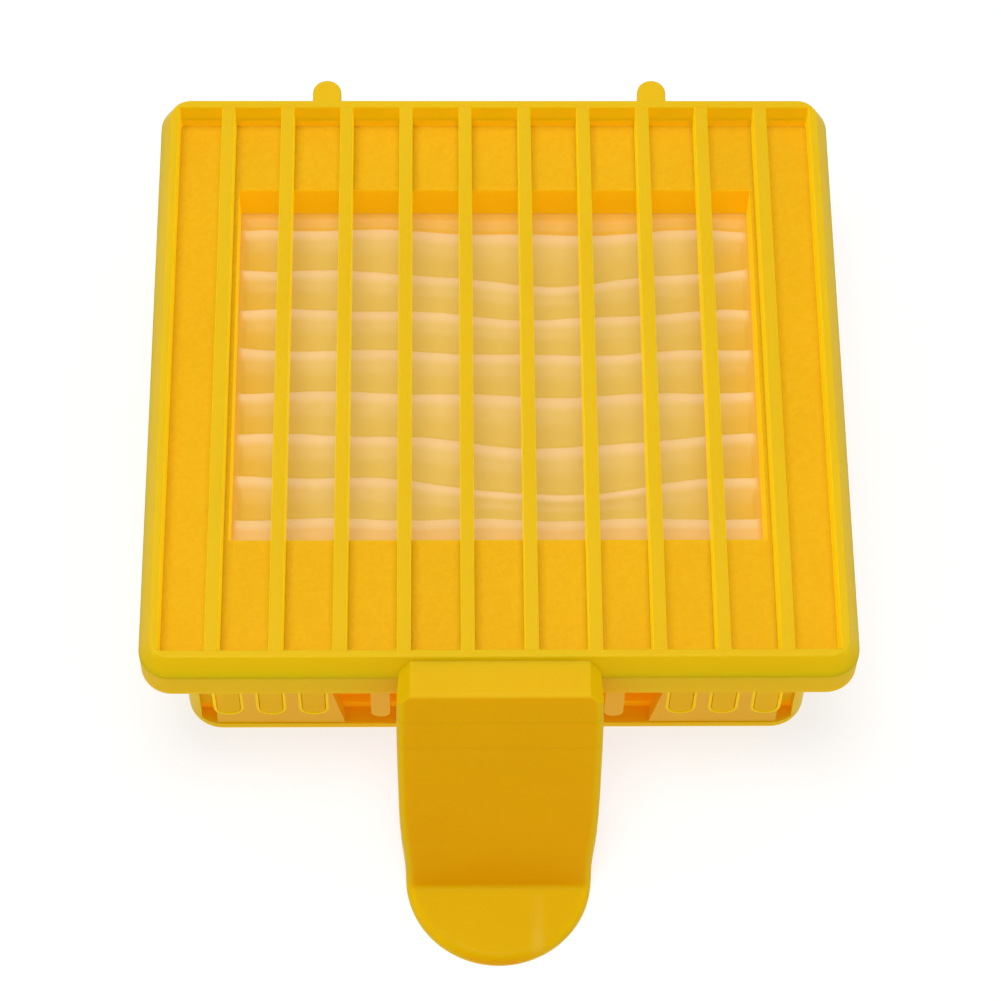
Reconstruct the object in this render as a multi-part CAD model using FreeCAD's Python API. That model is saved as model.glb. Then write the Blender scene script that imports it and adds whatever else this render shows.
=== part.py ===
import FreeCAD, Part
import math
import os

# Queen cage: a shallow box under a window plate, closed above by a rippled film
# and a lift-off grille lid that carries a long thumb tongue.
# Millimetres. X to the right, Y to the back, Z up.
# The origin is the middle of the cage's bottom rim, on the surface it rests on.

# ---- driving dimensions -------------------------------------------------
slot_width = 4.3          # clear gap between ribs: a worker bee passes, a queen doesn't
rib_width = 1.2
rib_count = 10
rib_pitch = slot_width + rib_width

plate_width = 62.2        # outline of the lid and of the window plate
plate_depth = 59.6
plate_corner = 2.8
plate_thickness = 2.2     # the window plate under the ribs
band_height = 3.2         # the window plate's upright outer band
lid_rim_height = 2.1
rim_land = 0.7            # flat top of the lid's rim
rim_slope = 1.04          # how far the rim's outer face leans in
rim_edge = 0.15           # rounding of the rim's land
rib_edge = 0.18           # rounding of a rib's two long upper edges
rib_lap = 0.3             # how far ribs and tabs reach into the rim
rib_end_gap = 0.15        # between a rib's lower part and the window plate's upstand
recess_corner = 0.3       # inner corners of the rim and of the window plate's recess
plate_edge = 0.25         # rounding round the window plate's underside
seat_lap = 0.5            # how far the window's walls reach up into the window plate

cage_width = 56.0
cage_depth = 52.4
cage_height = 14.9
cage_corner = 3.2
wall = 1.3

window_half_width = 23.75
window_front = -15.9
window_back = 20.85
window_wall = 3.95        # depth of the window's side walls
window_wall_thickness = 1.6

film_thickness = 0.4
film_ripples = 8
film_ripple_pitch = 4.3
film_ripple_height = 0.9
film_border = 2.0         # flat strip in front of the first ripple
film_lap = 1.4            # how far the film reaches under the window's front and back walls
film_side_play = 0.45     # between the film's side edges and the cage's side walls

tongue_thickness = 1.6
foot_thickness = 1.2
foot_radius = 8.2
foot_centre = -40.95

fit_gap = 0.05            # clearance between pieces that lie on each other
beyond = 1.0              # how far a cutting block reaches past what it cuts

# ---- levels and faces worked out from them ------------------------------
plate_bottom = cage_height
recess_level = plate_bottom + plate_thickness
plate_top = plate_bottom + band_height
lid_top = plate_top + lid_rim_height
rim_width = rim_land + rim_slope
opening_half_width = plate_width / 2 - rim_width
opening_half_depth = plate_depth / 2 - rim_width
front_face = -plate_depth / 2
cage_front = -cage_depth / 2
cage_back = cage_depth / 2
inner_half = cage_width / 2 - wall
film_top = recess_level - window_wall
crest_top = film_top - fit_gap

# ---- cage details --------------------------------------------------------
rail_height = 1.0         # bottom ring that the walls stand on
rail_reach = 3.0
rail_edge = 0.25
rail_hole_corner = 1.0
front_opening_depth = 1.5
ledge_lap = 0.3           # how far a film ledge reaches into its side wall
floor_thickness = 1.0
floor_play = 0.2
groove_depth = 0.6
groove_top = rail_height + floor_thickness + 2 * floor_play
ledge_reach = 1.9
ledge_thickness = 0.9
vent_width = 2.0
vent_pitch = 3.6
vent_count = 12
vent_bottom = 4.0
vent_top = 10.0
corner_joint = 24.75      # where the back wall meets the side walls, from the middle

# ---- sliding floor details -----------------------------------------------
floor_side_play = 0.3
floor_front_play = 0.3
floor_back_setback = 0.15
grip_half_width = 9.0
grip_length = 3.6
grip_corner = 2.5
ridge_count = 3
ridge_half_length = 6.0
ridge_first = 0.9
ridge_pitch = 0.8
ridge_width = 0.4
ridge_height = 0.3
ridge_sunk = 0.1

# ---- front gate details --------------------------------------------------
gate_half_width = 25.25
gate_thickness = 1.2
gate_setback = 0.1        # behind the cage's front face
gate_foot = rail_height + 0.1
gate_beam_bottom = 9.8
entry_half_low = 13.75    # entry edge at the gate's foot
entry_half_high = 15.15   # entry edge at the beam
gate_front = cage_front + gate_setback
finger_width = 1.7
finger_pitch = 5.25
finger_tip = 2.3
finger_count = 5
finger_thickness = 0.8
finger_lap = 0.5          # how far a finger reaches up into the gate's beam
peg_first = 16.47
peg_pitch = 3.82
pegs_per_side = 3
peg_width = 2.0
peg_depth = 0.65
peg_tip = 3.2
peg_play = 0.15
peg_root = 1.0            # how far a peg stands up into the window plate

# ---- rear tabs -----------------------------------------------------------
tab_spacing = 30.4
tab_offset = -0.45
tab_width = 2.65
tab_end = 31.75
tab_bottom = plate_top + 0.3
tab_top = lid_top - 0.8
tab_edge = 0.35

# ---- tongue --------------------------------------------------------------
root_top = lid_top - 0.4
root_bottom = plate_top + 0.2
root_end = -32.37
foot_bend = -42.2         # where the sloping strap meets the foot
side_points = [(8.65, -28.5), (8.9, -33.0), (8.82, -36.0), (8.55, -39.0), (foot_radius, foot_centre)]
shoulder_radius = 0.45    # where the root's top turns down into the strap
bend_radius = 0.6         # in the corner between the strap and the foot
heel_radius = 1.0
tongue_edge = 0.85        # rounding of the tongue's outer edge
root_bevel = 1.2          # flat bevel along both upper edges of the root
tongue_blank = 12.0       # half the width of the bar that the tongue is cut from
key_half_width = 6.0
key_bottom = plate_top + 0.5
key_top = plate_top + 1.4
key_end = front_face + 1.3
key_play = 0.05

# ---- lid tenons ----------------------------------------------------------
tenon_thickness = 0.8
tenon_length = 10.0
tenon_depth = 1.5
tenon_play = 0.1


def vec(x, y, z):
    return FreeCAD.Vector(x, y, z)


def block(x0, x1, y0, y1, z0, z1):
    """A box between two corners, given as ranges in either order."""
    low = vec(min(x0, x1), min(y0, y1), min(z0, z1))
    return Part.makeBox(abs(x1 - x0), abs(y1 - y0), abs(z1 - z0), low)


def upright_edges(shape):
    return [e for e in shape.Edges if e.BoundBox.ZLength > 0.01]


def rounded_slab(width, depth, radius, z0, z1):
    """A slab centred on the Z axis with rounded upright corners."""
    slab = block(-width / 2, width / 2, -depth / 2, depth / 2, z0, z1)
    return slab.makeFillet(radius, upright_edges(slab))


def rounded_outline(width, depth, radius, z):
    """The closed outline of such a slab at one height."""
    slab = rounded_slab(width, depth, radius, z, z + 1)
    return [f for f in slab.Faces if f.BoundBox.ZMax < z + 0.5][0].OuterWire


def level_edges(shape, z):
    """The edges that lie flat at one height."""
    return [e for e in shape.Edges
            if abs(e.BoundBox.ZMin - z) < 0.01 and abs(e.BoundBox.ZMax - z) < 0.01]


def corner_edges(shape, y, z):
    """The edges along X that lie at one point of the YZ section."""
    return [e for e in level_edges(shape, z)
            if abs(e.BoundBox.YMin - y) < 0.01 and abs(e.BoundBox.YMax - y) < 0.01]


def prism_x(points, half_width):
    """A polygon in the YZ plane, drawn out both ways along X."""
    wire = Part.makePolygon([vec(-half_width, y, z) for y, z in points + points[:1]])
    return Part.Face(wire).extrude(vec(2 * half_width, 0, 0))


def round_ended_bar(centre, width, y0, y1, tip, top):
    """An upright flat bar whose lower end is a half circle."""
    radius = width / 2
    bar = block(centre - radius, centre + radius, y0, y1, tip + radius, top)
    end = Part.makeCylinder(radius, y1 - y0, vec(centre, y0, tip + radius), vec(0, 1, 0))
    return bar.fuse(end).removeSplitter()


# ---- grille lid ----------------------------------------------------------
def lid_rim():
    """A frame whose outer face leans in to a narrow flat land."""
    low = rounded_outline(plate_width, plate_depth, plate_corner, plate_top)
    high = rounded_outline(plate_width - 2 * rim_slope, plate_depth - 2 * rim_slope,
                           plate_corner - rim_slope, lid_top)
    frame = Part.makeLoft([low, high], True, True)
    opening = rounded_slab(2 * opening_half_width, 2 * opening_half_depth, recess_corner,
                           plate_top - beyond, lid_top + beyond)
    frame = frame.cut(opening)
    return frame.makeFillet(rim_edge, level_edges(frame, lid_top))


def rib(x):
    """One rib: its lower part stops short of the window plate's upstand."""
    half = rib_width / 2
    lower_end = opening_half_depth - rib_end_gap
    upper_end = opening_half_depth + rib_lap
    crown = lid_top - fit_gap
    bar = block(x - half, x + half, -upper_end, upper_end, plate_top + fit_gap, crown)
    bar = bar.fuse(block(x - half, x + half, -lower_end, lower_end, recess_level + fit_gap, crown))
    bar = bar.removeSplitter()
    long_edges = [e for e in level_edges(bar, crown) if e.BoundBox.YLength > 2 * lower_end]
    return bar.makeFillet(rib_edge, long_edges)


def rear_tab(centre):
    """One tab with a round end, standing out of the lid's back."""
    radius = tab_width / 2
    root = opening_half_depth + rib_lap
    strip = block(centre - radius, centre + radius, root, tab_end - radius, tab_bottom, tab_top)
    end = Part.makeCylinder(radius, tab_top - tab_bottom, vec(centre, tab_end - radius, tab_bottom))
    tab = strip.fuse(end).removeSplitter()
    free = [e for e in level_edges(tab, tab_top) if e.BoundBox.YMax > root + radius]
    return tab.makeFillet(tab_edge, free)


def tenon(side, play):
    """A locating tenon under the lid's side rim, or its mortise when play is given."""
    centre = side * (plate_width / 2 - rim_width / 2)
    half = tenon_thickness / 2 + play
    reach = tenon_length / 2 + play
    return block(centre - half, centre + half, -reach, reach, plate_top - tenon_depth - play,
                 plate_top)


def grille_lid():
    lid = lid_rim()
    for i in range(rib_count):
        lid = lid.fuse(rib((i - (rib_count - 1) / 2) * rib_pitch))
    for side in (-1, 1):
        lid = lid.fuse(rear_tab(tab_offset + side * tab_spacing / 2))
        lid = lid.fuse(tenon(side, 0))
    reach = key_half_width + key_play
    socket = block(-reach, reach, front_face - beyond, key_end + key_play,
                   key_bottom - key_play, key_top + key_play)
    return lid.cut(socket).removeSplitter()


# ---- tongue --------------------------------------------------------------
def tongue_side(side):
    """One long side of the tongue, parallel to Y at both ends."""
    along = vec(0, -1, 0)
    points = [vec(side * x, y, 0) for x, y in side_points]
    curve = Part.BSplineCurve()
    curve.interpolate(Points=points, InitialTangent=along, FinalTangent=along)
    return curve.toShape()


def tongue_outline():
    """The tongue seen from above: gently waisted sides and a half-round end."""
    end = Part.Arc(vec(-foot_radius, foot_centre, 0), vec(0, foot_centre - foot_radius, 0),
                   vec(foot_radius, foot_centre, 0))
    root_x, root_y = side_points[0]
    root = Part.LineSegment(vec(root_x, root_y, 0), vec(-root_x, root_y, 0))
    edges = [tongue_side(-1), end.toShape(), tongue_side(1), root.toShape()]
    wire = Part.Wire(Part.__sortEdges__(edges))
    return Part.Face(wire).extrude(vec(0, 0, lid_top))


def rim_face(z):
    """Y of the lid rim's leaning front face at a height."""
    return front_face + rim_slope * (z - plate_top) / lid_rim_height


def outer_edges(tongue):
    """The edges between the tongue's outer face and its sides and round end."""
    step = 0.3
    found = []
    for edge in tongue.Edges:
        middle = edge.valueAt((edge.FirstParameter + edge.LastParameter) / 2)
        near_middle = abs(middle.x) < foot_radius / 2
        if near_middle and middle.y > foot_centre - foot_radius + tongue_edge:
            continue
        side = math.copysign(step, middle.x) if not near_middle else 0
        beneath = middle + vec(-side, step, -step)
        above = middle + vec(-side, -step, step)
        if tongue.isInside(beneath, 0.001, False) and not tongue.isInside(above, 0.001, False):
            found.append(edge)
    return found


def bevel_cut(side):
    """What lies outside a 45 degree plane along one upper edge of the root."""
    x, y = side_points[1]
    corners = [(x - root_bevel, root_top), (x - root_bevel, root_top + beyond),
               (x + beyond, root_top + beyond), (x + beyond, root_top - root_bevel - beyond)]
    points = [vec(side * across, y - 2 * root_bevel, z) for across, z in corners + corners[:1]]
    length = front_face + rim_slope + beyond - y + 2 * root_bevel
    return Part.Face(Part.makePolygon(points)).extrude(vec(0, length, 0))


def tongue_handle():
    run = foot_bend - root_end
    drop = root_top - foot_thickness
    back_shift = tongue_thickness * math.hypot(run, drop) / drop

    def back_of_strap(z):
        return root_end + (root_top - z) * run / drop + back_shift

    beyond_tip = foot_centre - foot_radius - beyond
    profile = [(rim_face(root_bottom), root_bottom), (rim_face(root_top), root_top),
               (root_end, root_top), (foot_bend, foot_thickness), (beyond_tip, foot_thickness),
               (beyond_tip, 0), (back_of_strap(0), 0), (back_of_strap(root_bottom), root_bottom)]
    strap = prism_x(profile, tongue_blank)
    strap = strap.makeFillet(shoulder_radius, corner_edges(strap, root_end, root_top))
    strap = strap.makeFillet(bend_radius, corner_edges(strap, foot_bend, foot_thickness))
    strap = strap.makeFillet(heel_radius, corner_edges(strap, back_of_strap(0), 0))
    tongue = strap.common(tongue_outline())
    tongue = tongue.makeFillet(tongue_edge, outer_edges(tongue))
    for side in (-1, 1):
        tongue = tongue.cut(bevel_cut(side))
    key = block(-key_half_width, key_half_width, front_face - beyond, key_end, key_bottom,
                key_top)
    return tongue.fuse(key).removeSplitter()


# ---- window plate --------------------------------------------------------
def peg_centres():
    places = [peg_first + i * peg_pitch for i in range(pegs_per_side)]
    return [side * x for side in (-1, 1) for x in places]


def window_plate():
    """A tray with a low upstand all round and a deep-walled window in its floor."""
    plate = rounded_slab(plate_width, plate_depth, plate_corner, plate_bottom, plate_top)
    plate = plate.makeFillet(plate_edge, level_edges(plate, plate_bottom))
    recess = rounded_slab(2 * opening_half_width, 2 * opening_half_depth, recess_corner,
                          recess_level, plate_top + beyond)
    border = window_wall_thickness
    seat = block(-window_half_width - border, window_half_width + border, window_front - border,
                 window_back + border, film_top, plate_bottom + seat_lap)
    opening = block(-window_half_width, window_half_width, window_front, window_back,
                    film_top - beyond, plate_top + beyond)
    plate = plate.cut(recess).fuse(seat).cut(opening)
    for side in (-1, 1):
        plate = plate.cut(tenon(side, tenon_play))
    for x in peg_centres():
        plate = plate.cut(peg(x, 0))
    return plate.removeSplitter()


# ---- rippled film --------------------------------------------------------
def ripple_line(start, first, end, height):
    """A flat strip, a row of shallow arcs that go up and down, and a flat strip."""
    half_pitch = film_ripple_pitch / 2
    edges = [Part.LineSegment(vec(0, start, height), vec(0, first, height))]
    y = first
    for i in range(2 * film_ripples):
        swing = film_ripple_height / 2 if i % 2 == 0 else -film_ripple_height / 2
        edges.append(Part.Arc(vec(0, y, height), vec(0, y + half_pitch / 2, height + swing),
                              vec(0, y + half_pitch, height)))
        y += half_pitch
    edges.append(Part.LineSegment(vec(0, y, height), vec(0, end, height)))
    return [e.toShape() for e in edges]


def wavy_film():
    """A closed sheet whose section is a row of shallow arcs, flat at both ends."""
    start = window_front - film_lap
    first = window_front + film_border
    end = window_back + film_lap
    upper = crest_top - film_ripple_height / 2
    lower = upper - film_thickness
    caps = [Part.LineSegment(vec(0, y, upper), vec(0, y, lower)).toShape() for y in (start, end)]
    edges = ripple_line(start, first, end, upper) + ripple_line(start, first, end, lower) + caps
    face = Part.Face(Part.Wire(Part.__sortEdges__(edges)))
    half = inner_half - film_side_play
    face.translate(vec(-half, 0, 0))
    return face.extrude(vec(2 * half, 0, 0))


# ---- cage: bottom rail, side walls and back wall -------------------------
def cage_shell():
    """The cage's walls as one open tube on its bottom rail, before it's divided."""
    shell = rounded_slab(cage_width, cage_depth, cage_corner, 0, cage_height)
    shell = shell.makeFillet(rail_edge, level_edges(shell, 0))
    room = rounded_slab(2 * inner_half, cage_depth - 2 * wall, cage_corner - wall,
                        rail_height, cage_height + beyond)
    hole = rounded_slab(cage_width - 2 * rail_reach, cage_depth - 2 * rail_reach,
                        rail_hole_corner, -beyond, rail_height + beyond)
    return shell.cut(room).cut(hole)


def wall_cuts():
    """The front opening, the floor's groove and the rows of upright vents."""
    front = cage_front + front_opening_depth
    half = inner_half + groove_depth
    cuts = [block(-inner_half, inner_half, cage_front - beyond, front, rail_height,
                  cage_height + beyond),
            block(-half, half, front, cage_back + beyond, rail_height, groove_top)]
    for i in range(vent_count):
        low = (i - (vent_count - 1) / 2) * vent_pitch - vent_width / 2
        high = low + vent_width
        cuts.append(block(low, high, cage_back - wall - beyond, cage_back + beyond, vent_bottom,
                          vent_top))
        cuts.append(block(-cage_width, cage_width, low, high, vent_bottom, vent_top))
    return cuts


def film_ledge(side):
    """The ledge on a side wall that the film's edge lies on."""
    top = crest_top - film_ripple_height - film_thickness - fit_gap
    return block(side * (inner_half - ledge_reach), side * (inner_half + ledge_lap),
                 window_front - film_lap, window_back + film_lap, top - ledge_thickness, top)


def cage_pieces():
    shell = cage_shell()
    big = cage_width
    rail = shell.common(block(-big, big, -big, big, -beyond, rail_height))
    walls = shell.common(block(-big, big, -big, big, rail_height, cage_height + 1))
    for cut in wall_cuts():
        walls = walls.cut(cut)
    sides = []
    for side in (-1, 1):
        half = walls.common(block(side * corner_joint, side * big, -big, big, 0, big))
        sides.append(half.fuse(film_ledge(side)).removeSplitter())
    back = walls.common(block(-corner_joint, corner_joint, 0, big, 0, big))
    return rail, sides[0], sides[1], back.removeSplitter()


# ---- front gate and its pegs ---------------------------------------------
def peg(centre, play):
    """A flat peg with a round tip, standing into the window plate, or its seat with play."""
    return round_ended_bar(centre, peg_width + 2 * play, gate_front - play,
                           gate_front + peg_depth + play, peg_tip - play, plate_bottom + peg_root)


def side_panel(side):
    """One solid panel of the gate, with the entry's slanting edge on its inner side."""
    corners = [(gate_half_width, gate_foot), (gate_half_width, gate_beam_bottom),
               (entry_half_high, gate_beam_bottom), (entry_half_low, gate_foot)]
    points = [vec(side * x, gate_front, z) for x, z in corners + corners[:1]]
    return Part.Face(Part.makePolygon(points)).extrude(vec(0, gate_thickness, 0))


def finger_gate():
    gate = block(-gate_half_width, gate_half_width, gate_front, gate_front + gate_thickness,
                 gate_beam_bottom, plate_bottom - fit_gap)
    for side in (-1, 1):
        gate = gate.fuse(side_panel(side))
    for i in range(finger_count):
        x = (i - (finger_count - 1) / 2) * finger_pitch
        gate = gate.fuse(round_ended_bar(x, finger_width, gate_front, gate_front + finger_thickness,
                                         finger_tip, gate_beam_bottom + finger_lap))
    for x in peg_centres():
        gate = gate.cut(peg(x, peg_play))
    return gate.removeSplitter()


def gate_pegs():
    return Part.makeCompound([peg(x, 0) for x in peg_centres()])


# ---- sliding floor -------------------------------------------------------
def sliding_floor():
    z0 = rail_height + floor_play
    z1 = z0 + floor_thickness
    half = inner_half + groove_depth - floor_side_play
    front = gate_front + gate_thickness + floor_front_play
    back = cage_back - floor_back_setback
    floor = block(-half, half, front, back, z0, z1)
    corners = [e for e in upright_edges(floor) if e.BoundBox.YMin > front]
    floor = floor.makeFillet(cage_corner, corners)
    grip = block(-grip_half_width, grip_half_width, back - beyond, back + grip_length, z0, z1)
    corners = [e for e in upright_edges(grip) if e.BoundBox.YMin > back]
    floor = floor.fuse(grip.makeFillet(grip_corner, corners))
    for i in range(ridge_count):
        y = back + ridge_first + ridge_pitch * i
        floor = floor.fuse(block(-ridge_half_length, ridge_half_length, y, y + ridge_width,
                                 z1 - ridge_sunk, z1 + ridge_height))
    return floor.removeSplitter()


os.makedirs("parts", exist_ok=True)
base_rail, left_wall, right_wall, back_wall = cage_pieces()
pieces = {
    "grille_lid": grille_lid(),
    "tongue_handle": tongue_handle(),
    "window_plate": window_plate(),
    "wavy_film": wavy_film(),
    "base_rail": base_rail,
    "left_wall": left_wall,
    "right_wall": right_wall,
    "back_wall": back_wall,
    "finger_gate": finger_gate(),
    "gate_pegs": gate_pegs(),
    "sliding_floor": sliding_floor(),
}
for name, shape in pieces.items():
    shape.exportStep("parts/" + name + ".step")
    print(name, "solids", len(shape.Solids), "valid", shape.isValid(),
          "volume", round(shape.Volume, 1))
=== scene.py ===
"""Queen cage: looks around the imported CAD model. Metres, in the model's own frame."""

import math

import bpy
from mathutils import Matrix, Vector


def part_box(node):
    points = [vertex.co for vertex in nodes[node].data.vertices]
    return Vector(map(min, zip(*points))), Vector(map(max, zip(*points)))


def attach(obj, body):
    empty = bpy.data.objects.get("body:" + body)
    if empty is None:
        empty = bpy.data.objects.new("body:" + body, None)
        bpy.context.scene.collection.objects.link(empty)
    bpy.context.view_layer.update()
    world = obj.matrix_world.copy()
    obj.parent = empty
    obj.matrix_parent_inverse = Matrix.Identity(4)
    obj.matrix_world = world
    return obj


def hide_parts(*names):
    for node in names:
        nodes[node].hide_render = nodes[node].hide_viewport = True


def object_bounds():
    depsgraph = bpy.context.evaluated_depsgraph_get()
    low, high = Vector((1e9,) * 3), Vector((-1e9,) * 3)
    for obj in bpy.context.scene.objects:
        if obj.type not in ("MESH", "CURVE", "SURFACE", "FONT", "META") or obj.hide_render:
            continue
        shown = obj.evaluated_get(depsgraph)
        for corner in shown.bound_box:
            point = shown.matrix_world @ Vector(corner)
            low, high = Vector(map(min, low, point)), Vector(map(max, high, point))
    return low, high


MM = 0.001

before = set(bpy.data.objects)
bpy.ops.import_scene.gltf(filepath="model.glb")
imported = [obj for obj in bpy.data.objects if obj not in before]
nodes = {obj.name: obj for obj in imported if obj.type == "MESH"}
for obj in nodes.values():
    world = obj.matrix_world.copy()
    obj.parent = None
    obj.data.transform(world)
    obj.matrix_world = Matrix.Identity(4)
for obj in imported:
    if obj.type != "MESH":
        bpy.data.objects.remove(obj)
cad_low, cad_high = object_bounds()

# ---- colours, linear red, green and blue ----------------------------------
# Each _UP and _SIDE pair is painted light and shade: one plastic coloured apart by which way a face
# looks.
LID_UP = (0.89, 0.56, 0.014)
LID_SIDE = (0.92, 0.58, 0.002)
PLATE_UP = (0.75, 0.46, 0.010)
PLATE_SIDE = (0.97, 0.57, 0.002)
# Colours of the painted glow on the recess's walls and on the ribs' sides.
WALL_GLOW = (0.4, 0.3, 0.003)
RIB_GLOW = (0.9, 0.8, 0.01)
# TONGUE_UP and STRAP are painted light and shade too: the tongue's colour on up-facing and on
# upright faces.
TONGUE_UP = (0.88, 0.53, 0.010)
# Painted light on the tongue's side bevels, chosen by how far a face looks sideways.
TONGUE_EDGE = (0.84, 0.53, 0.002)
# FOOT_UP and the strap's low colour are painted shade: the tongue is coloured darker towards its
# foot.
FOOT_UP = (0.755, 0.475, 0.001)
STRAP = (0.85, 0.445, 0.0005)
STRAP_SHADED_LOW = (0.86, 0.42, 0.0005)
FLOOR_ORANGE = (0.84, 0.46, 0.004)
FINGER = (0.86, 0.48, 0.008)
MILKY = (0.87, 0.47, 0.004)
MILKY_DEEP = (0.85, 0.44, 0.002)
BEAD = (0.84, 0.56, 0.004)
PEG = (0.82, 0.46, 0.0005)
# Painted highlight on the film's creases.
CREST_HIGHLIGHT = (0.81, 0.60, 0.29)
TROUGH_OCHRE = (0.71, 0.51, 0.11)
TROUGH_ORANGE = (0.72, 0.45, 0.05)
BORDER_FAR = (0.80, 0.46, 0.07)
BORDER_NEAR = (0.77, 0.51, 0.16)
PALE_GRAIN = (0.96, 0.76, 0.05)
PALE_FLOW = (0.90, 0.60, 0.02)
DEEP_FLOW = (0.62, 0.32, 0.001)
RUBBED = (0.86, 0.60, 0.12)
DUST = (0.25, 0.12, 0.01)
# Colour of the sliding floor's painted glow.
FLOOR_LIGHT = (1.0, 0.58, 0.1)
# Dims the film's base colour so that its painted glow carries most of its brightness.
FILM_DIMMED = (0.66, 0.66, 0.66)
BLACK = (0.0, 0.0, 0.0)
WHITE = (1.0, 1.0, 1.0)

# ---- places on the part, in mm --------------------------------------------
# A pair is where something starts to change and where the change ends.
RECESS_SIDE = (29.5, 29.9)     # sideways from the middle, where the recess's glow ends
RECESS_END = (28.2, 28.6)      # the same along the cage
FINGERS_SIDE = (12.0, 12.5)    # sideways from the middle, where the gate's fingers end
FOOT_TOP = 1.2
FOOT_SHADE_START = 1.5          # how far below the lid's top the painted shade towards the foot begins
FLOW_LINES = (17.3, 14.9)      # heights of two faint marks across the tongue's strap
FLOW_LINE_WIDTH = (0.06, 0.18)
STREAK_LEFT = (2.7, 3.2)       # the rubbed streak on the foot, across the cage
STREAK_RIGHT = (3.5, 4.1)
STREAK_TOP = (-43.4, -42.6)    # the streak's end nearest the strap, along the cage

# ---- strengths of the painted glow that stands in for light passed on from behind a piece ---
RECESS_GLOW = 0.3
FLOOR_GLOW = 0.33
FILM_GLOW = 0.38
GATE_GLOW = 0.1
CAGE_GLOW = 0.06
PEG_GLOW = 0.15
BEAD_GLOW = 0.3

# ---- patterns -------------------------------------------------------------
# Grain: the strength of its bumps and its scale, which counts features to the metre.
FINE_GRAIN = (0.15, 1800)
PLATE_GRAIN = (0.6, 2600)
TONGUE_GRAIN = (0.12, 1500)
FILM_GRAIN = (0.1, 1300)
GATE_GRAIN = (0.08, 1500)
GRAIN_DEPTH = 0.06             # depths of bumps in mm
SHEET_GRAIN_DEPTH = 0.04
FLOW_DEPTH = 0.03
FLOW_STRENGTH = 0.08
FLOW_SCALE = 900
DRIFT_SCALE = 60
SPECK_SCALE = 120
SPECK_PATCH_SCALE = 45
FILM_CLOUD_SCALE = 140
GATE_CLOUD_SCALE = 160
STRAP_LINE_SCALE = 700
SCRATCH_SCALE = 1100
ALONG_CAGE = (1, 0.12, 1)      # scales along the axes; a small one draws the pattern out
ACROSS_TONGUE = (0.06, 0.4, 1)
STRAP_LINE_STRETCH = (0.02, 0.3, 1)
SCRATCH_STRETCH = (1, 0.08, 1)


# ---- node helpers ---------------------------------------------------------
def new_material(name):
    material = bpy.data.materials.new(name)
    material.use_nodes = True
    tree = material.node_tree
    tree.nodes.clear()
    shader = tree.nodes.new("ShaderNodeBsdfPrincipled")
    output = tree.nodes.new("ShaderNodeOutputMaterial")
    tree.links.new(shader.outputs["BSDF"], output.inputs["Surface"])
    return material, tree, shader


def object_position(tree, scale=(1, 1, 1)):
    """Object position with its axes scaled, so a pattern can be stretched along one of them."""
    coordinates = tree.nodes.new("ShaderNodeTexCoord")
    mapping = tree.nodes.new("ShaderNodeMapping")
    mapping.inputs["Scale"].default_value = scale
    tree.links.new(coordinates.outputs["Object"], mapping.inputs["Vector"])
    return mapping.outputs["Vector"]


def axis_of(tree, vector, axis):
    split = tree.nodes.new("ShaderNodeSeparateXYZ")
    tree.links.new(vector, split.inputs["Vector"])
    return split.outputs[axis]


def noise(tree, vector, scale, detail=4.0, roughness=0.5):
    node = tree.nodes.new("ShaderNodeTexNoise")
    node.inputs["Scale"].default_value = scale
    node.inputs["Detail"].default_value = detail
    node.inputs["Roughness"].default_value = roughness
    tree.links.new(vector, node.inputs["Vector"])
    return node.outputs["Fac"]


def ramp(tree, value, stops):
    """A colour ramp; stops are (position, (r, g, b)) pairs."""
    node = tree.nodes.new("ShaderNodeValToRGB")
    elements = node.color_ramp.elements
    while len(elements) < len(stops):
        elements.new(0.5)
    for element, (position, colour) in zip(elements, stops):
        element.position = position
        element.color = (*colour, 1.0)
    tree.links.new(value, node.inputs["Fac"])
    return node.outputs["Color"]


def map_range(tree, value, low, high, to_low, to_high):
    node = tree.nodes.new("ShaderNodeMapRange")
    node.inputs["From Min"].default_value = low
    node.inputs["From Max"].default_value = high
    node.inputs["To Min"].default_value = to_low
    node.inputs["To Max"].default_value = to_high
    tree.links.new(value, node.inputs["Value"])
    return node.outputs["Result"]


def fade_out(tree, value, limits):
    """1 below the first limit and 0 above the second; limits in mm."""
    return map_range(tree, value, limits[0] * MM, limits[1] * MM, 1.0, 0.0)


def counted_from(tree, value, zero):
    """The value counted from a zero point, below it as well as above."""
    node = tree.nodes.new("ShaderNodeMath")
    node.operation = "SUBTRACT"
    tree.links.new(value, node.inputs[0])
    node.inputs[1].default_value = zero
    return node.outputs["Value"]


def absolute(tree, value):
    node = tree.nodes.new("ShaderNodeMath")
    node.operation = "ABSOLUTE"
    tree.links.new(value, node.inputs[0])
    return node.outputs["Value"]


def multiply(tree, first, second):
    node = tree.nodes.new("ShaderNodeMath")
    node.operation = "MULTIPLY"
    tree.links.new(first, node.inputs[0])
    tree.links.new(second, node.inputs[1])
    return node.outputs["Value"]


def mix(tree, factor, first, second, blend="MIX"):
    """Mixes two colours; second may be a plain (r, g, b)."""
    node = tree.nodes.new("ShaderNodeMix")
    node.data_type = "RGBA"
    node.blend_type = blend
    if isinstance(factor, float):
        node.inputs[0].default_value = factor
    else:
        tree.links.new(factor, node.inputs[0])
    tree.links.new(first, node.inputs[6])
    if isinstance(second, tuple):
        node.inputs[7].default_value = (*second, 1.0)
    else:
        tree.links.new(second, node.inputs[7])
    return node.outputs[2]


def bump(tree, height, strength, distance, before=None):
    """A bumped normal; distance in mm."""
    node = tree.nodes.new("ShaderNodeBump")
    node.inputs["Strength"].default_value = strength
    node.inputs["Distance"].default_value = distance * MM
    tree.links.new(height, node.inputs["Height"])
    if before is not None:
        tree.links.new(before, node.inputs["Normal"])
    return node.outputs["Normal"]


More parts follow.
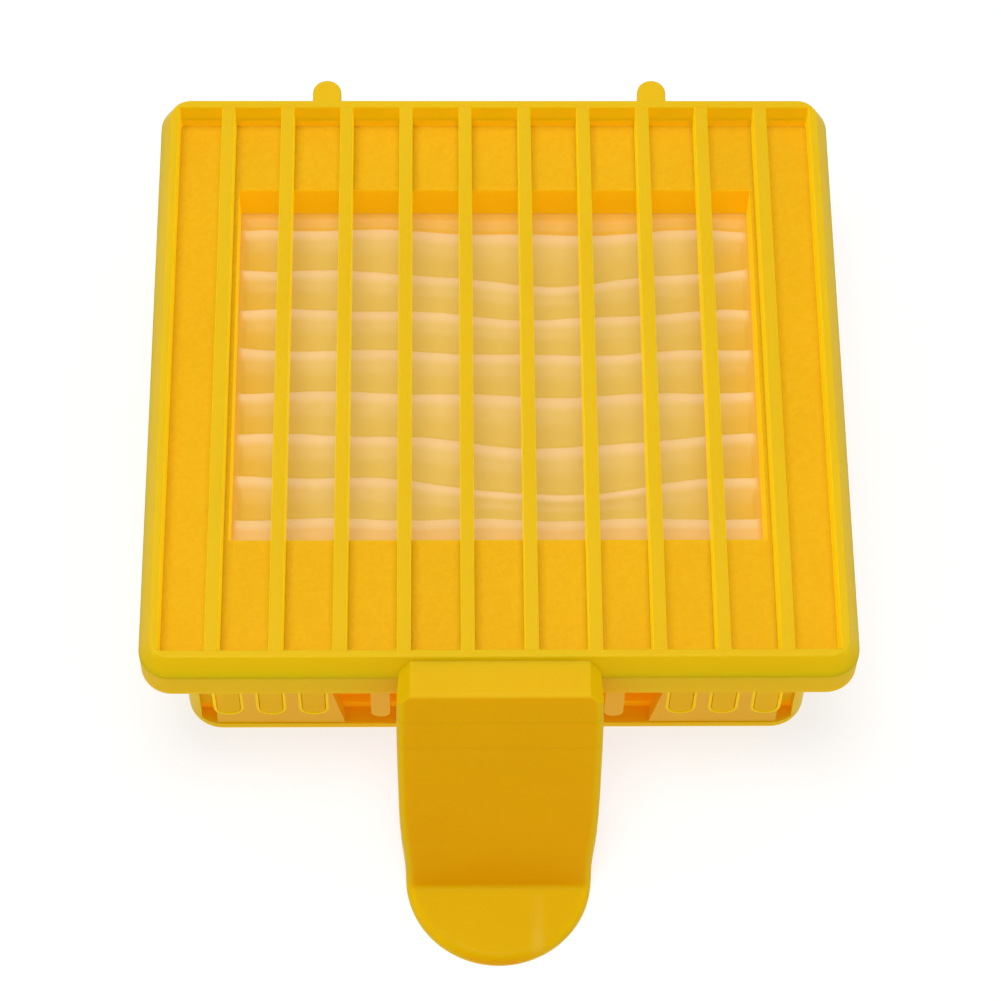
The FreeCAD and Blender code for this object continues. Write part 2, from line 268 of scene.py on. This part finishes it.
def specks(tree, position, colour):
    """Sparse tiny dark specks of dust, as a darkening of a colour."""
    cells = tree.nodes.new("ShaderNodeTexVoronoi")
    cells.inputs["Scale"].default_value = SPECK_SCALE
    tree.links.new(position, cells.inputs["Vector"])
    near = map_range(tree, cells.outputs["Distance"], 0.012, 0.03, 1.0, 0.0)
    some = map_range(tree, noise(tree, position, SPECK_PATCH_SCALE, 1.0), 0.60, 0.64, 0.0, 0.55)
    return mix(tree, multiply(tree, near, some), colour, DUST)


# ---- materials ------------------------------------------------------------
def facing_of(tree, axis):
    coordinates = tree.nodes.new("ShaderNodeTexCoord")
    return axis_of(tree, coordinates.outputs["Normal"], axis)


def painted_shade_by_facing(tree, up, side):
    """Painted light and shade: one colour on faces that look up, another on upright ones, blended
    between.
    """
    return ramp(tree, facing_of(tree, "Z"), [(0.45, side), (0.9, up)])


def soft_inside(shader, weight, radius, depth):
    """Light spreads inside the piece; depth in mm."""
    shader.inputs["Subsurface Weight"].default_value = weight
    shader.inputs["Subsurface Radius"].default_value = radius
    shader.inputs["Subsurface Scale"].default_value = depth * MM


def plastic_surface(name, grain, roughness, flow=ALONG_CAGE):
    """Injection-moulded plastic but for its colour: fine grain, faint flow lines, soft inside."""
    material, tree, shader = new_material(name)
    strength, scale = grain
    fine = noise(tree, object_position(tree), scale, 3.0, 0.6)
    rough = map_range(tree, fine, 0.3, 0.7, roughness - 0.06, roughness + 0.08)
    tree.links.new(rough, shader.inputs["Roughness"])
    lines = noise(tree, object_position(tree, flow), FLOW_SCALE, 2.0)
    normal = bump(tree, fine, strength, GRAIN_DEPTH)
    normal = bump(tree, lines, FLOW_STRENGTH, FLOW_DEPTH, normal)
    tree.links.new(normal, shader.inputs["Normal"])
    shader.inputs["Specular IOR Level"].default_value = 0.03
    soft_inside(shader, 0.4, (1.0, 0.6, 0.08), 2.0)
    return material, tree, shader, fine


def drifting(tree, colour, position):
    """The colour with a slow uneven drift, as pigment leaves in a moulding."""
    slow = noise(tree, position, DRIFT_SCALE, 2.0)
    drift = ramp(tree, slow, [(0.3, (0.97, 0.96, 0.9)), (0.65, WHITE)])
    return mix(tree, 1.0, colour, drift, "MULTIPLY")


def moulded_plastic(name, up, side, grain, roughness):
    """Moulded plastic with painted light and shade: one colour on faces that look up, another on
    upright ones.
    """
    material, tree, shader, fine = plastic_surface(name, grain, roughness)
    position = object_position(tree)
    colour = drifting(tree, painted_shade_by_facing(tree, up, side), position)
    pale = map_range(tree, fine, 0.35, 0.65, 0.0, 0.2 * grain[0])
    colour = mix(tree, pale, colour, PALE_GRAIN)
    colour = specks(tree, position, colour)
    tree.links.new(colour, shader.inputs["Base Color"])
    return material, tree, shader, colour


def painted_backlight(shader, tree, colour, strength):
    """Painted glow: emission standing in for the light thin pale plastic passes on from its far
    side.
    """
    tree.links.new(colour, shader.inputs["Emission Color"])
    shader.inputs["Emission Strength"].default_value = strength


def recess_glow(tree, shader, position):
    """Painted glow, standing in for light the recess's upright walls and the ribs' sides pass on
    from behind them.
    """
    across = fade_out(tree, absolute(tree, axis_of(tree, position, "X")), RECESS_SIDE)
    along = fade_out(tree, absolute(tree, axis_of(tree, position, "Y")), RECESS_END)
    within = multiply(tree, across, along)
    sideways = map_range(tree, absolute(tree, facing_of(tree, "X")), 0.5, 0.9, 0, 1)
    forwards = map_range(tree, facing_of(tree, "Y"), -0.5, -0.9, 0, 1)
    glow = ramp(tree, multiply(tree, within, forwards), [(0.0, BLACK), (1.0, WALL_GLOW)])
    side_glow = ramp(tree, multiply(tree, within, sideways), [(0.0, BLACK), (1.0, RIB_GLOW)])
    painted_backlight(shader, tree, mix(tree, 1.0, glow, side_glow, "ADD"), RECESS_GLOW)


def glowing_plastic(name, colour, strength):
    """Thin moulded plastic with a painted glow standing in for some of the light behind it."""
    material, tree, shader, shade = moulded_plastic(name, colour, colour, FINE_GRAIN, 0.38)
    painted_backlight(shader, tree, shade, strength)
    return material


def recessed_plastic(name, up, side, grain, roughness):
    """Moulded plastic of the pieces round the recess, with painted light and shade by facing and a
    painted glow in the recess.
    """
    material, tree, shader, _ = moulded_plastic(name, up, side, grain, roughness)
    recess_glow(tree, shader, object_position(tree))
    return material


def tongue_material():
    """The tongue, painted with light and shade by facing and painted darker towards its foot, which
    carries a faint rubbed streak.
    """
    material, tree, shader, _ = plastic_surface("tongue_plastic", TONGUE_GRAIN, 0.36, ACROSS_TONGUE)
    place = object_position(tree)
    height = axis_of(tree, place, "Z")
    high = painted_shade_by_facing(tree, TONGUE_UP, STRAP)
    low = painted_shade_by_facing(tree, FOOT_UP, STRAP_SHADED_LOW)
    # Painted shade: the colour darkens towards the foot.
    foot_shade = map_range(tree, height, FOOT_TOP * MM, cad_high.z - FOOT_SHADE_START * MM, 1.0, 0.0)
    # Painted light: faces that look sideways take a yellower colour.
    bevel_light = map_range(tree, absolute(tree, facing_of(tree, "X")), 0.12, 0.5, 0.0, 1.0)
    colour = mix(tree, bevel_light, mix(tree, foot_shade, high, low), TONGUE_EDGE)
    colour = drifting(tree, colour, place)
    lines = noise(tree, object_position(tree, STRAP_LINE_STRETCH), STRAP_LINE_SCALE, 2.0)
    colour = mix(tree, map_range(tree, lines, 0.55, 0.75, 0.0, 0.12), colour, PALE_FLOW)
    near, far = FLOW_LINE_WIDTH
    for line_height in FLOW_LINES:
        apart = absolute(tree, counted_from(tree, height, line_height * MM))
        line = map_range(tree, apart, near * MM, far * MM, 0.14, 0.0)
        colour = mix(tree, line, colour, DEEP_FLOW)
    scratches = noise(tree, object_position(tree, SCRATCH_STRETCH), SCRATCH_SCALE, 3.0)
    streak = map_range(tree, scratches, 0.45, 0.65, 0.05, 0.3)
    x = axis_of(tree, place, "X")
    past_left = map_range(tree, x, STREAK_LEFT[0] * MM, STREAK_LEFT[1] * MM, 0.0, 1.0)
    before_right = fade_out(tree, x, STREAK_RIGHT)
    on_foot = fade_out(tree, axis_of(tree, place, "Y"), STREAK_TOP)
    across = multiply(tree, past_left, before_right)
    rubbed = multiply(tree, multiply(tree, streak, across), on_foot)
    colour = mix(tree, rubbed, colour, RUBBED)
    tree.links.new(colour, shader.inputs["Base Color"])
    return material


def glowing_floor_material():
    """Painted glow on the thin floor, standing in for the light it lets through from below."""
    material, tree, shader, colour = moulded_plastic("floor_plastic", FLOOR_ORANGE, FLOOR_ORANGE,
                                                     FINE_GRAIN, 0.4)
    painted_backlight(shader, tree, mix(tree, 1.0, colour, FLOOR_LIGHT, "MULTIPLY"), FLOOR_GLOW)
    return material


def sheet_grain(tree, shader, position, grain, smoothest, roughest):
    """A fine grain on milky plastic, in its roughness and its bumps."""
    strength, scale = grain
    fine = noise(tree, position, scale, 2.0)
    rough = map_range(tree, fine, 0.3, 0.7, smoothest, roughest)
    tree.links.new(rough, shader.inputs["Roughness"])
    tree.links.new(bump(tree, fine, strength, SHEET_GRAIN_DEPTH), shader.inputs["Normal"])


def film_material():
    """Milky flexible sheet; its colour attribute is painted with highlights, whiter on the creases,
    and its colour also drives a painted glow.
    """
    material, tree, shader = new_material("milky_film")
    tint_and_highlight = tree.nodes.new("ShaderNodeVertexColor")
    tint_and_highlight.layer_name = "tint_and_highlight"
    position = object_position(tree)
    cloudy = noise(tree, position, FILM_CLOUD_SCALE, 3.0)
    clouds = ramp(tree, cloudy, [(0.3, (0.95, 0.94, 0.9)), (0.7, WHITE)])
    colour = mix(tree, 1.0, tint_and_highlight.outputs["Color"], clouds, "MULTIPLY")
    colour = specks(tree, position, colour)
    # Base colour dimmed; the painted glow below carries the film's full colour, painted highlights
    # included.
    dimmed = mix(tree, 1.0, colour, FILM_DIMMED, "MULTIPLY")
    tree.links.new(dimmed, shader.inputs["Base Color"])
    sheet_grain(tree, shader, position, FILM_GRAIN, 0.28, 0.4)
    shader.inputs["IOR"].default_value = 1.45
    shader.inputs["Specular IOR Level"].default_value = 0.15
    painted_backlight(shader, tree, colour, FILM_GLOW)
    soft_inside(shader, 0.2, (1.0, 0.7, 0.35), 0.8)
    return material


def gate_material():
    """Milky plastic with a soft cloudiness; the fingers have a colour of their own."""
    material, tree, shader = new_material("milky_gate")
    position = object_position(tree)
    clouds = noise(tree, position, GATE_CLOUD_SCALE, 3.0)
    colour = ramp(tree, clouds, [(0.3, MILKY_DEEP), (0.68, MILKY)])
    middle = absolute(tree, axis_of(tree, position, "X"))
    colour = mix(tree, fade_out(tree, middle, FINGERS_SIDE), colour, FINGER)
    colour = specks(tree, position, colour)
    tree.links.new(colour, shader.inputs["Base Color"])
    # Painted glow, standing in for light the milky gate passes on from behind.
    painted_backlight(shader, tree, colour, GATE_GLOW)
    sheet_grain(tree, shader, position, GATE_GRAIN, 0.3, 0.42)
    shader.inputs["Specular IOR Level"].default_value = 0.08
    soft_inside(shader, 0.2, (1.0, 0.6, 0.2), 1.0)
    return material


def dress(piece, material):
    piece.data.materials.clear()
    piece.data.materials.append(material)


def new_piece(name, vertices, faces, material):
    mesh = bpy.data.meshes.new(name)
    mesh.from_pydata(vertices, [], faces)
    mesh.validate()
    mesh.update()
    for face in mesh.polygons:
        face.use_smooth = True
    piece = bpy.data.objects.new(name, mesh)
    bpy.context.scene.collection.objects.link(piece)
    mesh.materials.append(material)
    return piece


# ---- rippled film ---------------------------------------------------------
# Each crease: where it meets the side walls, and how far it sags towards the tongue, in mm.
CREASES = [(19.05, 0.65), (14.5, 1.7), (10.25, 1.1), (5.9, 0.6), (1.45, 0.55), (-3.0, 1.5),
           (-7.4, 1.95), (-11.7, 0.1)]
SAG_CENTRE = 5.0
SAG_REACH = 10.5
SLOW_WAVE = (0.12, 0.45, 2.1)  # wanderings of a crease: size, rate along it, shift to the next one
QUICK_WAVE = (0.02, 1.7, 1.3)
CREASE_END = (20.5, 23.5)      # sideways from the middle, where a crease bends to the tongue or away
CREASE_END_TURN = 0.25
RIPPLE_HEIGHT = 0.45
FILM_THICKNESS = 0.35
RIPPLE_HALF_WIDTH = 23.3
FILM_PLAY = 0.02               # the film's highest points lie this far under the CAD film's top
FILM_COLUMNS = 121
RISE_START = 0.93              # share of a ripple at which it turns up to the next crease
# Pairs of shares of the way from one crease to the next, where a change starts and ends.
BORDER_DROP = (0.62, 0.8)
BORDER_LIFT = (0.95, 1.0)
BORDER_TINT = (0.6, 0.8)
NEAR_DROP = (0.2, 0.3)
# These shares place the painted crest highlight: where it gives way to the border or trough, and
# where it returns before the next crease.
NEAR_TINT = (0.12, 0.17)
QUICK_FADE = (0.07, 0.28)
SLOW_FADE = (0.3, 0.75)
CREST_AGAIN = (0.965, 0.985)
FALL_END = 0.6
TROUGH_SIDES = (15, 24)        # sideways from the middle, where troughs turn orange, in mm
ROW_SHARES = (0, 0.04, 0.09, 0.14, 0.2, 0.27, 0.35, 0.44, 0.54, 0.65, 0.76, 0.86, 0.93, 0.955,
              0.98)


def smooth(value, low, high):
    share = min(1.0, max(0.0, (value - low) / (high - low)))
    return share * share * (3 - 2 * share)


def blend_colours(first, second, share):
    return tuple(a + (b - a) * share for a, b in zip(first, second))


def wave(x, index, size, rate, shift):
    return size * math.sin(rate * x + shift * index)


def crease_y(index, x):
    """Where a crease lies along the cage at one place across it, in mm."""
    side, sag = CREASES[index]
    wander = wave(x, index, *SLOW_WAVE) + wave(x, index, *QUICK_WAVE)
    turned = CREASE_END_TURN * smooth(abs(x), *CREASE_END) * math.sin(3.0 * index + 0.8)
    return side + wander - turned - sag * math.exp(-((x - SAG_CENTRE) / SAG_REACH) ** 2)


def ripple_profile(share):
    """1 on a crease, falling to 0 in the trough, then rising sharply to the next crease."""
    if share > RISE_START:
        return smooth(share, RISE_START, 1.0)
    return 0.5 + 0.5 * math.cos(math.pi * min(1.0, share / FALL_END))


def film_point(row, share, x, far, near):
    """Y, height share and colour of a point on the film's upper side, crests with a painted
    highlight; row -1 is the far border.
    """
    start = far if row < 0 else crease_y(row, x)
    end = near if row == len(CREASES) - 1 else crease_y(row + 1, x)
    y = start + (end - start) * share
    inside = 1 - smooth(abs(x), RIPPLE_HALF_WIDTH, RIPPLE_HALF_WIDTH + 0.4)
    if row < 0:
        height = 1 - 0.8 * smooth(share, *BORDER_DROP) + 0.8 * smooth(share, *BORDER_LIFT)
        tint_and_highlight = blend_colours(BORDER_FAR, TROUGH_ORANGE, 0.5 * smooth(share, *BORDER_TINT))
    elif row == len(CREASES) - 1:
        height = 1 - 0.25 * smooth(share, *NEAR_DROP)
        tint_and_highlight = blend_colours(CREST_HIGHLIGHT, BORDER_NEAR, smooth(share, *NEAR_TINT))
    else:
        height = ripple_profile(share)
        trough = blend_colours(TROUGH_OCHRE, TROUGH_ORANGE, smooth(abs(x), *TROUGH_SIDES))
        fade = 0.9 * smooth(share, *QUICK_FADE) + 0.1 * smooth(share, *SLOW_FADE)
        tint_and_highlight = blend_colours(CREST_HIGHLIGHT, trough, fade)
        tint_and_highlight = blend_colours(tint_and_highlight, CREST_HIGHLIGHT, smooth(share, *CREST_AGAIN))
    tint_and_highlight = blend_colours(BORDER_FAR, tint_and_highlight, inside)
    return y, 1 - (1 - height) * inside, tint_and_highlight


def make_film(material):
    low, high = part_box("wavy_film")
    columns = FILM_COLUMNS
    rows = [(row, share) for row in range(-1, len(CREASES)) for share in ROW_SHARES]
    rows.append((len(CREASES) - 1, 1.0))
    level = high.z - FILM_PLAY * MM
    upper, tints_and_highlights = [], []
    for row, share in rows:
        for column in range(columns):
            x = low.x + (high.x - low.x) * column / (columns - 1)
            y, height, tint_and_highlight = film_point(row, share, x / MM, high.y / MM, low.y / MM)
            upper.append((x, y * MM, level - (1 - height) * RIPPLE_HEIGHT * MM))
            tints_and_highlights.append(tint_and_highlight)
    lower = [(x, y, z - FILM_THICKNESS * MM) for x, y, z in upper]
    count = len(upper)
    last_row = len(rows) - 1
    faces = []
    for r in range(last_row):
        for c in range(columns - 1):
            a = r * columns + c
            quad = (a, a + columns, a + columns + 1, a + 1)
            faces.append(quad)
            faces.append(tuple(count + v for v in reversed(quad)))
    rim = list(range(columns))
    rim += [r * columns + columns - 1 for r in range(1, last_row + 1)]
    rim += [last_row * columns + c for c in range(columns - 2, -1, -1)]
    rim += [r * columns for r in range(last_row - 1, 0, -1)]
    for here, there in zip(rim, rim[1:] + rim[:1]):
        faces.append((here, there, count + there, count + here))
    film = new_piece("rippled_film", upper + lower, faces, material)
    attribute = film.data.color_attributes.new("tint_and_highlight", "FLOAT_COLOR", "POINT")
    for i, tint_and_highlight in enumerate(tints_and_highlights + tints_and_highlights):
        attribute.data[i].color = (*tint_and_highlight, 1.0)
    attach(film, "cage")
    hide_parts("wavy_film")


# ---- beads round the gate's pegs ------------------------------------------
PEG_FIRST = 16.47
PEG_PITCH = 3.82
PEG_TIP_CENTRE = 4.2       # height of the middle of a peg's round tip
BEAD_REACH = 1.22          # from a peg's middle line to its bead
BEAD_RADIUS = 0.15
BEAD_TOP = 14.7
BEAD_STRAIGHT = 9.0        # height of the point between a bead's top and its curve
BEAD_FLATNESS = 0.6        # its depth as a share of its width
BEAD_SETBACK = 0.02        # behind the gate's front face
BEAD_ARC_STEPS = 12
BEAD_SIDES = 8


def bead_path(centre):
    """A U hanging from the window plate round one peg's tip, as points in mm."""
    left = centre - BEAD_REACH
    right = centre + BEAD_REACH
    points = [(left, BEAD_TOP), (left, BEAD_STRAIGHT)]
    for step in range(BEAD_ARC_STEPS + 1):
        angle = math.pi + math.pi * step / BEAD_ARC_STEPS
        points.append((centre + BEAD_REACH * math.cos(angle),
                       PEG_TIP_CENTRE + BEAD_REACH * math.sin(angle)))
    return points + [(right, BEAD_STRAIGHT), (right, BEAD_TOP)]


def make_bead(name, centre, y, material):
    around = BEAD_SIDES
    path = [Vector((x, z)) for x, z in bead_path(centre)]
    vertices, faces = [], []
    for i, point in enumerate(path):
        ahead = path[min(i + 1, len(path) - 1)]
        behind = path[max(i - 1, 0)]
        run = (ahead - behind).normalized()
        sideways = Vector((-run.y, run.x))
        for k in range(around):
            turn = 2 * math.pi * k / around
            spot = point + sideways * BEAD_RADIUS * math.cos(turn)
            depth = BEAD_RADIUS * BEAD_FLATNESS * math.sin(turn)
            vertices.append((spot.x * MM, y + depth * MM, spot.y * MM))
    for i in range(len(path) - 1):
        for k in range(around):
            a, b = i * around + k, i * around + (k + 1) % around
            faces.append((a, b, b + around, a + around))
    faces.append(tuple(range(around)))
    faces.append(tuple(reversed(range((len(path) - 1) * around, len(path) * around))))
    bead = new_piece(name, vertices, faces, material)
    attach(bead, "cage")


def make_beads(material):
    gate_low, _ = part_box("finger_gate")
    for side, word in ((-1, "left"), (1, "right")):
        for i in range(3):
            centre = side * (PEG_FIRST + i * PEG_PITCH)
            make_bead(f"gate_bead_{word}_{i + 1}", centre, gate_low.y + BEAD_SETBACK * MM, material)


# ---- camera, light and floor ----------------------------------------------
ELEVATION = math.radians(61.68)
YAW = math.radians(2.02)
ROLL = math.radians(1.68)
FOCAL_IN_FRAMES = 3.4585   # focal length as a share of the picture's width
DISTANCE = 0.3076          # in metres
SENSOR = 36.0
AIM = (0.25, -11.46, -4.0)  # from the middle of the lid's top, in mm


def make_camera():
    """Looks down at the lid from the tongue's end, with a long lens."""
    camera = bpy.data.cameras.new("camera")
    camera.sensor_width = SENSOR
    camera.lens = SENSOR * FOCAL_IN_FRAMES
    camera.clip_start = 0.01
    view = Vector((math.sin(YAW) * math.cos(ELEVATION), math.cos(YAW) * math.cos(ELEVATION),
                   -math.sin(ELEVATION)))
    level = view.cross(Vector((0, 0, 1))).normalized()
    upward = level.cross(view)
    right = math.cos(ROLL) * level + math.sin(ROLL) * upward
    up = math.cos(ROLL) * upward - math.sin(ROLL) * level
    target = Vector(AIM) * MM + Vector((0, 0, cad_high.z))
    holder = bpy.data.objects.new("camera", camera)
    bpy.context.scene.collection.objects.link(holder)
    turn = Matrix((right, up, -view)).transposed()
    holder.matrix_world = Matrix.Translation(target - DISTANCE * view) @ turn.to_4x4()
    bpy.context.scene.camera = holder


def area_light(name, place, aim, size, watts):
    light = bpy.data.lights.new(name, "AREA")
    light.shape = "DISK"
    light.size = size
    light.energy = watts
    holder = bpy.data.objects.new(name, light)
    bpy.context.scene.collection.objects.link(holder)
    holder.location = place
    holder.rotation_euler = (Vector(aim) - Vector(place)).to_track_quat("-Z", "Y").to_euler()


SKY_HORIZON = 0.22
SKY_TOP = 0.5
KEY_PLACE = (-0.06, -0.04, 0.9)
KEY_AIM = (0, 0, 0.01)
KEY_SIZE = 0.5
KEY_WATTS = 4.6
STAGE_HALF = 1.5               # half the stage floor's width, in metres
STAGE_GREY = (0.3, 0.3, 0.3)
STAGE_GLOW = 0.74


def make_lights():
    """A soft overhead disk in a sky that's brighter above, as in a light tent."""
    area_light("key", KEY_PLACE, KEY_AIM, KEY_SIZE, KEY_WATTS)
    world = bpy.data.worlds.new("world")
    bpy.context.scene.world = world
    world.use_nodes = True
    tree = world.node_tree
    background = tree.nodes["Background"]
    background.inputs["Color"].default_value = (1, 1, 1, 1)
    coordinates = tree.nodes.new("ShaderNodeTexCoord")
    height = axis_of(tree, coordinates.outputs["Generated"], "Z")
    brightness = map_range(tree, height, 0.0, 1.0, SKY_HORIZON, SKY_TOP)
    tree.links.new(brightness, background.inputs["Strength"])


def make_floor():
    half = STAGE_HALF
    mesh = bpy.data.meshes.new("floor")
    mesh.from_pydata([(-half, -half, 0), (half, -half, 0), (half, half, 0), (-half, half, 0)],
                     [], [(0, 1, 2, 3)])
    floor = bpy.data.objects.new("floor", mesh)
    bpy.context.scene.collection.objects.link(floor)
    floor.location.z = cad_low.z
    material, _, shader = new_material("pale_floor")
    shader.inputs["Base Color"].default_value = (*STAGE_GREY, 1)
    shader.inputs["Emission Color"].default_value = (1, 1, 1, 1)
    shader.inputs["Emission Strength"].default_value = STAGE_GLOW
    shader.inputs["Roughness"].default_value = 0.9
    shader.inputs["Specular IOR Level"].default_value = 0.1
    floor.data.materials.append(material)


# ---- putting it together --------------------------------------------------
lid_plastic = recessed_plastic("lid_plastic", LID_UP, LID_SIDE, FINE_GRAIN, roughness=0.36)
plate_plastic = recessed_plastic("plate_plastic", PLATE_UP, PLATE_SIDE, PLATE_GRAIN, roughness=0.5)
# The cage, the pegs and the beads carry a painted glow.
cage_plastic = glowing_plastic("cage_plastic", LID_SIDE, CAGE_GLOW)
peg_plastic = glowing_plastic("peg_plastic", PEG, PEG_GLOW)
bead_plastic = glowing_plastic("bead_plastic", BEAD, BEAD_GLOW)
milky_gate = gate_material()

dress(nodes["grille_lid"], lid_plastic)
dress(nodes["tongue_handle"], tongue_material())
dress(nodes["window_plate"], plate_plastic)
dress(nodes["finger_gate"], milky_gate)
dress(nodes["sliding_floor"], glowing_floor_material())
dress(nodes["gate_pegs"], peg_plastic)
for name in ("base_rail", "left_wall", "right_wall", "back_wall"):
    dress(nodes[name], cage_plastic)

make_film(film_material())
make_beads(bead_plastic)
make_camera()
make_lights()
make_floor()

bpy.context.scene.view_settings.view_transform = "Standard"
